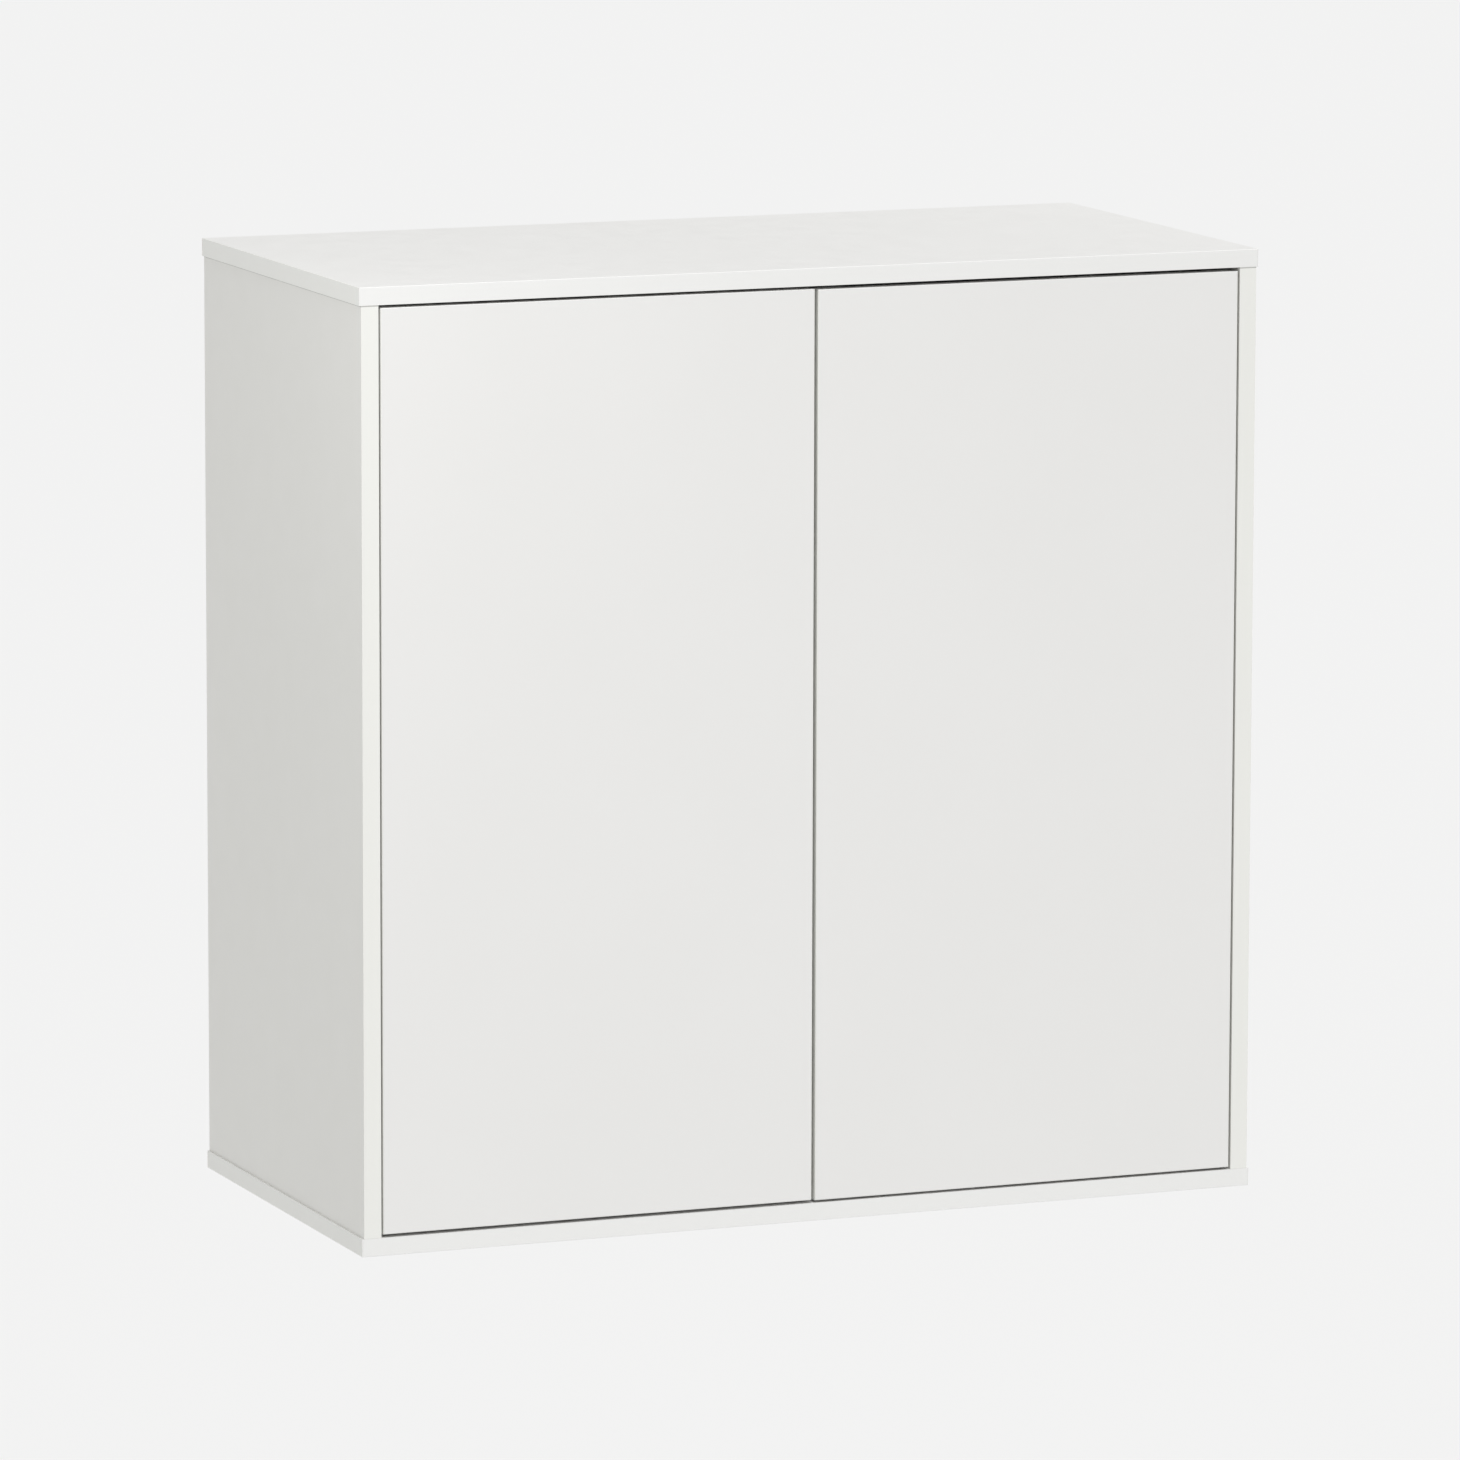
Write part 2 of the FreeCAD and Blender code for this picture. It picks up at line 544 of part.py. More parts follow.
def door(side):
    """A door, with the bores for its hinge cups and the pilot holes of its screws."""
    middle = DOOR_RAISE[side]
    z_range = (middle - DOOR_HALF_HEIGHT, middle + DOOR_HALF_HEIGHT)
    u_range = (DOOR_SIDE_GAP, DOOR_SIDE_GAP + DOOR_WIDTH)
    panel = block(side, u_range, (0, DOOR_THICKNESS), z_range)
    front = -DEPTH + DOOR_ROUND
    panel = rounded_edges(panel, DOOR_ROUND, lambda middle, along: middle.y < front)
    tools = []
    for height in hinge_heights(side):
        tools.append(rod(place(side, CUP_U, CUP_BOTTOM_V, height), BACKWARD, CUP_RADIUS, CUP_DEPTH))
    for seat in cup_screw_seats(side):
        depth = FLANGE_TOP_V - DOOR_THICKNESS
        mouth = seat - BACKWARD * depth
        tools.append(rod(mouth, -BACKWARD, CUP_SCREW[2], CUP_SCREW[3] - depth))
    for seat in strike_screw_seats(side):
        mouth = seat - BACKWARD * STRIKE_THICKNESS
        tools.append(rod(mouth, -BACKWARD, STRIKE_SCREW[2], STRIKE_SCREW[3] - STRIKE_THICKNESS))
    return drilled(panel, tools)


def hinge_cup(side, height):
    """A flanged cup with a pocket for the arm and a cross hole for the hinge pin."""
    bowl = rod(place(side, CUP_U, CUP_BOTTOM_V, height), BACKWARD, CUP_RADIUS, CUP_DEPTH)
    face = place(side, CUP_U, DOOR_THICKNESS, height)
    ring = rod(face, BACKWARD, CUP_RADIUS + FLANGE_LIP, FLANGE_THICKNESS)
    ears = [ring]
    flange_v = (DOOR_THICKNESS, FLANGE_TOP_V)
    ear_u = (CUP_SCREW_U - FLANGE_EAR_RADIUS, CUP_SCREW_U + FLANGE_EAR_RADIUS)
    ear_z = (height - CUP_SCREW_HALF_SPACING, height + CUP_SCREW_HALF_SPACING)
    ears.append(block(side, ear_u, flange_v, ear_z))
    holes = []
    for z in ear_z:
        ear_face = place(side, CUP_SCREW_U, DOOR_THICKNESS, z)
        ears.append(rod(ear_face, BACKWARD, FLANGE_EAR_RADIUS, FLANGE_THICKNESS))
        holes.append(rod(ear_face, BACKWARD, CUP_SCREW[2], FLANGE_THICKNESS))
    pocket_u = (PIVOT_U - POCKET_KNUCKLE_ROOM, CUP_U + CUP_RADIUS - POCKET_FAR_WALL)
    pocket_v = (CUP_BOTTOM_V + CUP_FLOOR, FLANGE_TOP_V)
    pocket_z = (height - POCKET_HALF_HEIGHT, height + POCKET_HALF_HEIGHT)
    pocket = block(side, pocket_u, pocket_v, pocket_z)
    holes.append(rounded_edges(pocket, POCKET_ROUND, lambda middle, along: abs(along.y) > NEARLY_ALONG))
    pin_start = place(side, PIVOT_U, PIVOT_V, height - HINGE_PIN_HALF_LENGTH)
    holes.append(rod(pin_start, UP, HINGE_PIN_RADIUS, 2 * HINGE_PIN_HALF_LENGTH))
    return fused([bowl] + ears).cut(holes)


def hinge_pin(side, height):
    start = place(side, PIVOT_U, PIVOT_V, height - HINGE_PIN_HALF_LENGTH)
    return rod(start, UP, HINGE_PIN_RADIUS, 2 * HINGE_PIN_HALF_LENGTH)


def is_bend(side, middle, along):
    """Whether an edge of the arm's plan is at one of the upright bends beside its column."""
    u = HALF_INSIDE - side * middle.x
    outer = u > COLUMN_END_U - ARM_COLUMN / 2
    bend = abs(middle.y + DEPTH - ARM_BEND_V) < ARM_COLUMN / 2
    return abs(along.z) > NEARLY_ALONG and (outer or bend)


def hinge_arm(side, height):
    """A cranked arm: a knuckle and tongue in the cup, a column, a bend and a channel."""
    knuckle_start = place(side, PIVOT_U, PIVOT_V, height - TONGUE_HALF_HEIGHT)
    knuckle = rod(knuckle_start, UP, KNUCKLE_RADIUS, 2 * TONGUE_HALF_HEIGHT)
    tongue_low = PIVOT_V - KNUCKLE_RADIUS
    tongue_high = PIVOT_V + TONGUE_ABOVE_PIN
    crank = [
        (PIVOT_U, tongue_low),
        (COLUMN_END_U, tongue_low),
        (COLUMN_END_U, ARM_BEND_V + ARM_COLUMN),
        (ARM_TOP_U + ARM_THICKNESS, ARM_START_V + ARM_COLUMN),
        (ARM_U, ARM_START_V + ARM_COLUMN),
        (ARM_U, ARM_START_V),
        (COLUMN_U, ARM_BEND_V),
        (COLUMN_U, tongue_high),
        (PIVOT_U, tongue_high),
    ]
    plan = outline(side, crank, height, TONGUE_HALF_HEIGHT)
    plan = rounded_edges(plan, ARM_BEND_ROUND, lambda middle, along: is_bend(side, middle, along))
    z_range = (height - ARM_HALF_HEIGHT, height + ARM_HALF_HEIGHT)
    top = block(side, (ARM_U, ARM_TOP_U), (ARM_START_V, ARM_END_V), z_range)
    top = rounded_edges(top, ARM_END_ROUND, runs_across)
    pieces = [knuckle, plan, top]
    side_start = PLATE_RIB_START_V + ARM_THICKNESS
    side_u = (ARM_TOP_U - ARM_SIDE_DEPTH, ARM_TOP_U)
    side_v = (side_start, ARM_END_V - ARM_END_ROUND)
    for z in (z_range[0], z_range[1] - ARM_SIDE):
        pieces.append(block(side, side_u, side_v, (z, z + ARM_SIDE)))
    bore = rod(knuckle_start, UP, HINGE_PIN_RADIUS + HINGE_PIN_PLAY, 2 * TONGUE_HALF_HEIGHT)
    tools = [bore]
    for v, radius in ((ARM_SCREW_V, ARM_SCREW[2]), (ADJUSTER_V, ADJUSTER_SCREW[2])):
        tools.append(rod(place(side, ARM_U, v, height), inward(side), radius, ARM_THICKNESS))
    return fused(pieces).cut(tools)


def plate_screw_places(side):
    places = []
    for height in HINGE_HEIGHTS:
        for z in (height - HOLE_PITCH / 2, height + HOLE_PITCH / 2):
            places.append(place(side, PLATE_THICKNESS, HOLE_SETBACK, z))
    return places


def mounting_plate(side, height):
    """A cross-shaped plate on the side panel, with a rib that the arm is screwed to."""
    wing_reach = HOLE_PITCH / 2 + PLATE_WING_END
    wing_v = (HOLE_SETBACK - PLATE_WING_HALF_WIDTH, HOLE_SETBACK + PLATE_WING_HALF_WIDTH)
    wing = block(side, (0, PLATE_THICKNESS), wing_v, (height - wing_reach, height + wing_reach))
    wing = rounded_edges(wing, WING_ROUND, runs_across)
    rib_z = (height - PLATE_RIB_HALF_HEIGHT, height + PLATE_RIB_HALF_HEIGHT)
    base = block(side, (0, PLATE_THICKNESS), (PLATE_START_V, PLATE_END_V), rib_z)
    rib = block(side, (PLATE_THICKNESS, PLATE_RIB_TOP), (PLATE_RIB_START_V, PLATE_END_V), rib_z)
    ends = [rounded_edges(solid, PLATE_ROUND, runs_across) for solid in (base, rib)]
    plate = fused([wing] + ends)
    tools = []
    for offset in (-HOLE_PITCH / 2, HOLE_PITCH / 2):
        middle = height + offset
        slot_u = (0, PLATE_THICKNESS)
        slot_v = (HOLE_SETBACK - PLATE_SCREW[2], HOLE_SETBACK + PLATE_SCREW[2])
        slot_z = (middle - PLATE_SLOT_HALF_LENGTH, middle + PLATE_SLOT_HALF_LENGTH)
        tools.append(block(side, slot_u, slot_v, slot_z))
        for z in slot_z:
            slot_end = place(side, 0, HOLE_SETBACK, z)
            tools.append(rod(slot_end, inward(side), PLATE_SCREW[2], PLATE_THICKNESS))
    for v, sizes in ((ARM_SCREW_V, ARM_SCREW), (ADJUSTER_V, ADJUSTER_SCREW)):
        depth = sizes[3] - ARM_THICKNESS
        tools.append(rod(place(side, ARM_U, v, height), -inward(side), sizes[2], depth))
    return plate.cut(tools)


def at_each_hinge(side, make):
    return [make(side, height) for height in hinge_heights(side)]


def arm_screws(side):
    screws = []
    for height in hinge_heights(side):
        screws.append(screw(place(side, ARM_TOP_U, ARM_SCREW_V, height), -inward(side), ARM_SCREW))
        screws.append(screw(place(side, ARM_TOP_U, ADJUSTER_V, height), -inward(side), ADJUSTER_SCREW))
    return screws


# ---------------------------------------------------------------- push latches


def latch_lugs(side):
    """The u and v middles of the two screw lugs of a latch's housing."""
    front_lug, back_lug = LATCH_LUG_V
    reach = LATCH_HALF_WIDTH + LATCH_LUG_LENGTH / 2
    return [(LATCH_U - reach, HOUSING_FRONT_V + front_lug), (LATCH_U + reach, HOUSING_FRONT_V + back_lug)]


def latch_screw_seats(side):
    seat_z = HALF_INSIDE_HEIGHT - LATCH_LUG_THICKNESS
    return [place(side, u, v, seat_z) for u, v in latch_lugs(side)]


def latch_housing(side):
    u_range = (LATCH_U - LATCH_HALF_WIDTH, LATCH_U + LATCH_HALF_WIDTH)
    v_range = (HOUSING_FRONT_V, HOUSING_BACK_V)
    body = block(side, u_range, v_range, (LATCH_Z - LATCH_HALF_HEIGHT, HALF_INSIDE_HEIGHT))

    def lower_long_edge(middle, along):
        return middle.z < LATCH_Z and abs(along.y) > NEARLY_ALONG

    pieces = [rounded_edges(body, HOUSING_ROUND, lower_long_edge)]
    half_lug = LATCH_LUG_LENGTH / 2
    lug_z = (HALF_INSIDE_HEIGHT - LATCH_LUG_THICKNESS, HALF_INSIDE_HEIGHT)
    for u, v in latch_lugs(side):
        pieces.append(block(side, (u - half_lug, u + half_lug), (v - half_lug, v + half_lug), lug_z))
    tools = []
    for seat in latch_screw_seats(side):
        tools.append(rod(seat, UP, LATCH_SCREW[2], LATCH_LUG_THICKNESS))
    guide_length = CHAMBER_FRONT_V - HOUSING_FRONT_V
    guide_start = place(side, LATCH_U, HOUSING_FRONT_V, LATCH_Z)
    tools.append(rod(guide_start, BACKWARD, PLUNGER_RADIUS + PLUNGER_PLAY, guide_length))
    chamber_start = place(side, LATCH_U, CHAMBER_FRONT_V, LATCH_Z)
    tools.append(rod(chamber_start, BACKWARD, CHAMBER_RADIUS, HOUSING_BACK_V - CHAMBER_FRONT_V))
    return fused(pieces).cut(tools)


def latch_plug(side):
    return rod(place(side, LATCH_U, PLUG_FRONT_V, LATCH_Z), BACKWARD, CHAMBER_RADIUS, PLUG_LENGTH)


def latch_plunger(side):
    start = place(side, LATCH_U, PLUNGER_FRONT_V, LATCH_Z)
    stem = rod(start, BACKWARD, PLUNGER_RADIUS, COLLAR_BACK_V - PLUNGER_FRONT_V)
    collar = rod(place(side, LATCH_U, COLLAR_FRONT_V, LATCH_Z), BACKWARD, COLLAR_RADIUS, COLLAR_LENGTH)
    return fused([stem, collar])


def latch_magnet(side):
    disc = rod(place(side, LATCH_U, MAGNET_FRONT_V, LATCH_Z), BACKWARD, MAGNET_RADIUS, MAGNET_THICKNESS)
    return disc.makeFillet(MAGNET_ROUND, circles(disc))


def latch_spring(side):
    """A coil spring between the plunger's collar and the plug."""
    length = PLUG_FRONT_V - COLLAR_BACK_V - 2 * SPRING_WIRE_RADIUS
    helix = Part.makeHelix(length / SPRING_TURNS, length, SPRING_RADIUS)
    circle = Part.makeCircle(SPRING_WIRE_RADIUS, FreeCAD.Vector(SPRING_RADIUS, 0, 0), BACKWARD)
    coil = Part.Wire(helix.Edges).makePipeShell([Part.Wire(circle)], True, True)
    start = place(side, LATCH_U, COLLAR_BACK_V + SPRING_WIRE_RADIUS, LATCH_Z)
    coil.Placement = FreeCAD.Placement(start, FreeCAD.Rotation(UP, BACKWARD))
    return coil


def strike_plate(side):
    """The steel plate on the door's back that the latch's magnet holds."""
    u_range = (LATCH_U - STRIKE_HALF_WIDTH, LATCH_U + STRIKE_HALF_WIDTH)
    z_range = (LATCH_Z - STRIKE_HALF_SIZE, LATCH_Z + STRIKE_HALF_SIZE)
    plate = block(side, u_range, (DOOR_THICKNESS, STRIKE_BACK_V), z_range)
    plate = rounded_edges(plate, STRIKE_ROUND, lambda middle, along: abs(along.y) > NEARLY_ALONG)
    holes = [rod(seat, -BACKWARD, STRIKE_SCREW[2], STRIKE_THICKNESS) for seat in strike_screw_seats(side)]
    return plate.cut(holes)


def main():
    os.makedirs("parts", exist_ok=True)
    save("top_panel", [end_panel(1)])
    save("bottom_panel", [end_panel(-1)])
    save("back_panel", [back_panel()])
    save("upper_rail", [rail(1)])
    save("lower_rail", [rail(-1)])
    save("lower_shelf", [shelf(SHELF_HOLE_STEPS[0])])
    save("upper_shelf", [shelf(SHELF_HOLE_STEPS[1])])
    save("shelf_pins", shelf_pins())
    save("corner_dowels", corner_dowels())
    save("rail_dowels", rail_dowels())
    save("cam_bolts", at_each_cam(cam_bolt))
    save("cam_locks", at_each_cam(cam_lock))
    save("cam_caps", at_each_cam(cam_cap))
    save("latch_plugs", [latch_plug(side) for side in SIDES.values()])
    latch_seats = [seat for side in SIDES.values() for seat in latch_screw_seats(side)]
    save("latch_screws", [screw(seat, UP, LATCH_SCREW) for seat in latch_seats])
    for name, side in SIDES.items():
        save(name + "_side_panel", [side_panel(side)])
        save(name + "_door", [door(side)])
        save(name + "_hinge_cups", at_each_hinge(side, hinge_cup))
        save(name + "_hinge_pins", at_each_hinge(side, hinge_pin))
        save(name + "_hinge_arms", at_each_hinge(side, hinge_arm))
        save(name + "_mounting_plates", at_each_hinge(side, mounting_plate))
        save(name + "_arm_screws", arm_screws(side))
        plate_screws = [screw(seat, -inward(side), PLATE_SCREW) for seat in plate_screw_places(side)]
        save(name + "_plate_screws", plate_screws)
        save(name + "_cup_screws", [screw(seat, -BACKWARD, CUP_SCREW) for seat in cup_screw_seats(side)])
        save(name + "_latch_housing", [latch_housing(side)])
        save(name + "_latch_plunger", [latch_plunger(side)])
        save(name + "_latch_magnet", [latch_magnet(side)])
        save(name + "_latch_spring", [latch_spring(side)])
        save(name + "_strike_plate", [strike_plate(side)])
        strike_seats = strike_screw_seats(side)
        save(name + "_strike_screws", [screw(seat, -BACKWARD, STRIKE_SCREW) for seat in strike_seats])


main()
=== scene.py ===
"""The looks of a hanging wall cabinet: white melamine boards, inset doors and their fittings."""
import json
import math

import bpy
from mathutils import Matrix, Vector

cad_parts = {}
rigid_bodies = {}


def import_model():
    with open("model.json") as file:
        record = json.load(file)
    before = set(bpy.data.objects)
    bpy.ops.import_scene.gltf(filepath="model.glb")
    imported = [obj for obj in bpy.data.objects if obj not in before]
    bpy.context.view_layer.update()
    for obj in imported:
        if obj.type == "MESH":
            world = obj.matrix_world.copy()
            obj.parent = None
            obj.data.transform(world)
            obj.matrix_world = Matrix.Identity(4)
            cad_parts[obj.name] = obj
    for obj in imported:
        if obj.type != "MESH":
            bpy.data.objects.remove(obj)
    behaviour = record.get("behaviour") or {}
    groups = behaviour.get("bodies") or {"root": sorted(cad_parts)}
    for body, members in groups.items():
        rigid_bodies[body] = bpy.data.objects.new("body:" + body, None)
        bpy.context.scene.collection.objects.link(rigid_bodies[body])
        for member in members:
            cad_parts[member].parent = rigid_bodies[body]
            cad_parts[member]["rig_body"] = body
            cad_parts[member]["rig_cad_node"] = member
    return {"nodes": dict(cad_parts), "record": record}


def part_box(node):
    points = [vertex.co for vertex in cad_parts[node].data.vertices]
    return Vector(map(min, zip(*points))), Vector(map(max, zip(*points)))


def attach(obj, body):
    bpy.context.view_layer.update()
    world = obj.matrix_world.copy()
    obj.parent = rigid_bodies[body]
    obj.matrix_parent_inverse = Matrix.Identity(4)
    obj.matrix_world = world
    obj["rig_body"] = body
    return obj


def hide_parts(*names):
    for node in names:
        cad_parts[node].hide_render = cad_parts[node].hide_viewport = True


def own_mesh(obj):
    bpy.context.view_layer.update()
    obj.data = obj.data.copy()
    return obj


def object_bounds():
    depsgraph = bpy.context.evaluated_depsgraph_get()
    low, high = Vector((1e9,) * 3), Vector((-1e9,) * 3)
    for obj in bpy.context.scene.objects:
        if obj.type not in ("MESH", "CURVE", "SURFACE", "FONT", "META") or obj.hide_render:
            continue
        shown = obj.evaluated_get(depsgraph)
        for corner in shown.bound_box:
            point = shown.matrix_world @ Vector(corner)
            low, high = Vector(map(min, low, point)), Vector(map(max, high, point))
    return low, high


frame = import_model()
cad_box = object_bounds()
nodes = frame["nodes"]
low, high = cad_box
HEIGHT = high.z - low.z

# ---------------------------------------------------------------- view and light

CAMERA_SIDEWAYS = -3.848   # from the middle of the cabinet's front foot, in cabinet heights
CAMERA_FORWARD = -9.303
CAMERA_ABOVE = 2.142
CAMERA_YAW = math.radians(21.97)
CAMERA_PITCH = math.radians(9.16)
CAMERA_ROLL = math.radians(-0.14)
LENS_MM = 242.8
SENSOR_MM = 36.0
CLIP_RANGE = (0.1, 400.0)
FLOOR_DROP = 1.5           # the floor lies this far under the cabinet, in metres
FLOOR_REACH = 140.0
FLOOR_TONE = 0.878
FLOOR_ROUGHNESS = 0.9
ROOM_GLOW = 0.448
ROOM_TINT = (1.0, 1.0, 0.995)
KEY_STRENGTH = 1.95
KEY_DIRECTION = (0.10, -0.40, 0.915)
KEY_SPREAD = math.radians(50)
# Name, place from the cabinet's middle in cabinet heights, size in metres, power in watts
SOFTBOXES = (
    ("far_front", (-0.5, -5.0, 1.2), 2.0, 8.3),
    ("high_right", (1.8, 0.3, 2.0), 1.0, 5.0),
    ("near_left", (-1.05, -0.75, 0.95), 0.4, 1.35),
)


def add_camera():
    data = bpy.data.cameras.new("view_camera")
    data.lens = LENS_MM
    data.sensor_width = SENSOR_MM
    data.clip_start, data.clip_end = CLIP_RANGE
    camera = bpy.data.objects.new("view_camera", data)
    bpy.context.scene.collection.objects.link(camera)
    forward = Vector((
        math.sin(CAMERA_YAW) * math.cos(CAMERA_PITCH),
        math.cos(CAMERA_YAW) * math.cos(CAMERA_PITCH),
        -math.sin(CAMERA_PITCH),
    ))
    level_right = Vector((math.cos(CAMERA_YAW), -math.sin(CAMERA_YAW), 0))
    level_down = forward.cross(level_right)
    right = level_right * math.cos(CAMERA_ROLL) + level_down * math.sin(CAMERA_ROLL)
    up = level_right * math.sin(CAMERA_ROLL) - level_down * math.cos(CAMERA_ROLL)
    turn = Matrix((right, up, -forward)).transposed()
    camera.rotation_euler = turn.to_euler()
    foot = Vector(((low.x + high.x) / 2, low.y, low.z))
    camera.location = foot + HEIGHT * Vector((CAMERA_SIDEWAYS, CAMERA_FORWARD, CAMERA_ABOVE))
    bpy.context.scene.camera = camera


def add_light():
    scene = bpy.context.scene
    scene.view_settings.view_transform = "Standard"
    scene.view_settings.look = "None"
    world = bpy.data.worlds.new("pale_room")
    scene.world = world
    world.use_nodes = True
    room = world.node_tree.nodes["Background"]
    room.inputs["Color"].default_value = (*ROOM_TINT, 1)
    room.inputs["Strength"].default_value = ROOM_GLOW
    sun = bpy.data.lights.new("soft_key", "SUN")
    sun.energy = KEY_STRENGTH
    sun.angle = KEY_SPREAD
    key = bpy.data.objects.new("soft_key", sun)
    scene.collection.objects.link(key)
    key.rotation_euler = Vector(KEY_DIRECTION).to_track_quat("Z", "Y").to_euler()
    middle = (low + high) / 2
    for name, place, size, power in SOFTBOXES:
        panel = bpy.data.lights.new(name, "AREA")
        panel.energy = power
        panel.size = size
        softbox = bpy.data.objects.new(name, panel)
        softbox.visible_camera = False
        scene.collection.objects.link(softbox)
        softbox.location = middle + HEIGHT * Vector(place)
        softbox.rotation_euler = Vector(place).to_track_quat("Z", "Y").to_euler()


def add_floor():
    bpy.ops.object.select_all(action="DESELECT")
    middle = ((low.x + high.x) / 2, (low.y + high.y) / 2, low.z - FLOOR_DROP)
    bpy.ops.mesh.primitive_plane_add(size=2 * FLOOR_REACH, location=middle)
    floor = bpy.context.object
    floor.name = "floor"
    paint = bpy.data.materials.new("pale_floor")
    paint.use_nodes = True
    shader = paint.node_tree.nodes["Principled BSDF"]
    shader.inputs["Base Color"].default_value = (FLOOR_TONE, FLOOR_TONE, FLOOR_TONE, 1)
    shader.inputs["Roughness"].default_value = FLOOR_ROUGHNESS
    shader.inputs["Specular IOR Level"].default_value = 0.0
    floor.data.materials.append(paint)


# ---------------------------------------------------------------- material building blocks


class Finish:
    """A material whose nodes are added one by one, each call giving a socket to feed the next."""

    def __init__(self, name):
        self.material = bpy.data.materials.new(name)
        self.material.use_nodes = True
        self.tree = self.material.node_tree
        self.shader = self.tree.nodes["Principled BSDF"]
        coordinates = self.tree.nodes.new("ShaderNodeTexCoord")
        self.place = coordinates.outputs["Object"]

    def feed(self, socket, value):
        if isinstance(value, bpy.types.NodeSocket):
            self.tree.links.new(value, socket)
        else:
            socket.default_value = value

    def constant(self, **values):
        for name, value in values.items():
            self.shader.inputs[name.replace("_", " ")].default_value = value

    def set(self, name, value):
        self.feed(self.shader.inputs[name], value)

    def combine(self, operation, first, second=0.0, third=0.0):
        node = self.tree.nodes.new("ShaderNodeMath")
        node.operation = operation
        self.feed(node.inputs[0], first)
        self.feed(node.inputs[1], second)
        self.feed(node.inputs[2], third)
        return node.outputs[0]

    def axes(self):
        node = self.tree.nodes.new("ShaderNodeSeparateXYZ")
        self.feed(node.inputs[0], self.place)
        return node.outputs

    def stretched(self, scale):
        node = self.tree.nodes.new("ShaderNodeMapping")
        self.feed(node.inputs["Vector"], self.place)
        node.inputs["Scale"].default_value = scale
        return node.outputs[0]

    def noise(self, scale, detail=3.0, roughness=0.5, vector=None):
        node = self.tree.nodes.new("ShaderNodeTexNoise")
        self.feed(node.inputs["Vector"], vector or self.place)
        node.inputs["Scale"].default_value = scale
        node.inputs["Detail"].default_value = detail
        node.inputs["Roughness"].default_value = roughness
        return node.outputs["Fac"]

    def cells(self, scale, output="Distance"):
        node = self.tree.nodes.new("ShaderNodeTexVoronoi")
        self.feed(node.inputs["Vector"], self.place)
        node.inputs["Scale"].default_value = scale
        return node.outputs[output]

    def ramp(self, value, *stops):
        """Each stop is a position and a colour."""
        node = self.tree.nodes.new("ShaderNodeValToRGB")
        self.feed(node.inputs[0], value)
        elements = node.color_ramp.elements
        while len(elements) < len(stops):
            elements.new(0.5)
        for element, (position, colour) in zip(elements, stops):
            element.position = position
            element.color = (*colour, 1)
        return node.outputs[0]

    def remap(self, value, from_low, from_high, to_low, to_high):
        node = self.tree.nodes.new("ShaderNodeMapRange")
        self.feed(node.inputs["Value"], value)
        node.inputs["From Min"].default_value = from_low
        node.inputs["From Max"].default_value = from_high
        node.inputs["To Min"].default_value = to_low
        node.inputs["To Max"].default_value = to_high
        return node.outputs[0]

    def mix(self, factor, first, second, blend="MIX"):
        node = self.tree.nodes.new("ShaderNodeMix")
        node.data_type = "RGBA"
        node.blend_type = blend
        self.feed(node.inputs[0], factor)
        for socket, value in ((node.inputs[6], first), (node.inputs[7], second)):
            self.feed(socket, (*value, 1) if isinstance(value, tuple) else value)
        return node.outputs[2]

    def bump(self, height, distance, strength=1.0, below=None):
        node = self.tree.nodes.new("ShaderNodeBump")
        self.feed(node.inputs["Height"], height)
        node.inputs["Distance"].default_value = distance
        node.inputs["Strength"].default_value = strength
        if below is not None:
            self.feed(node.inputs["Normal"], below)
        return node.outputs[0]


# ---------------------------------------------------------------- finishes

MELAMINE = (0.803, 0.799, 0.786)
MELAMINE_DEEP = (0.797, 0.793, 0.779)
EDGE_STRIP = (0.826, 0.826, 0.812)
# Painted light: a warm tint on the side panels for the warmer light that falls on them
SIDE_LIGHT_TINT = (0.996, 0.998, 0.972)
# Painted shade: the colour of the dark line along board ends that butt against another board
JOINT_SHADE = (0.28, 0.28, 0.27)
# Painted light: edge strips at the left and right ends are warmer and lighter, for the light
# falling on the sides
SIDE_LIT_END_STRIP = (0.842, 0.845, 0.812)
CHIP_DARK = (0.30, 0.19, 0.10)
CHIP_MIDDLE = (0.48, 0.33, 0.20)
CHIP_LIGHT = (0.62, 0.47, 0.31)
GLUE_LINE = (0.55, 0.54, 0.51)
GLUE_LINE_STRENGTH = 0.45
HARDBOARD_DARK = (0.20, 0.11, 0.055)
HARDBOARD_LIGHT = (0.36, 0.23, 0.13)
NET_FREQUENCY = 2900.0      # of the press's net marks, in radians per metre
RUBBED_METAL = (0.82, 0.82, 0.80)
BRUSHING = (1.0, 1.0, 30.0)
CAST_DARK = (0.40, 0.40, 0.41)
CAST_LIGHT = (0.60, 0.60, 0.61)
BEECH_DARK = (0.42, 0.26, 0.14)
BEECH_LIGHT = (0.66, 0.47, 0.29)
STRIP_THICKNESS = 0.0008
LAMINATE_THICKNESS = 0.00035
LINE_HALF_WIDTH = 0.00009


def chipboard(finish):
    """The colour of pressed wood chips."""
    flakes = finish.cells(420.0, "Color")
    tone = finish.noise(260.0, 4.0, 0.6)
    wood = finish.ramp(tone, (0.30, CHIP_DARK), (0.52, CHIP_MIDDLE), (0.72, CHIP_LIGHT))
    return finish.mix(0.35, wood, flakes, "SOFT_LIGHT")


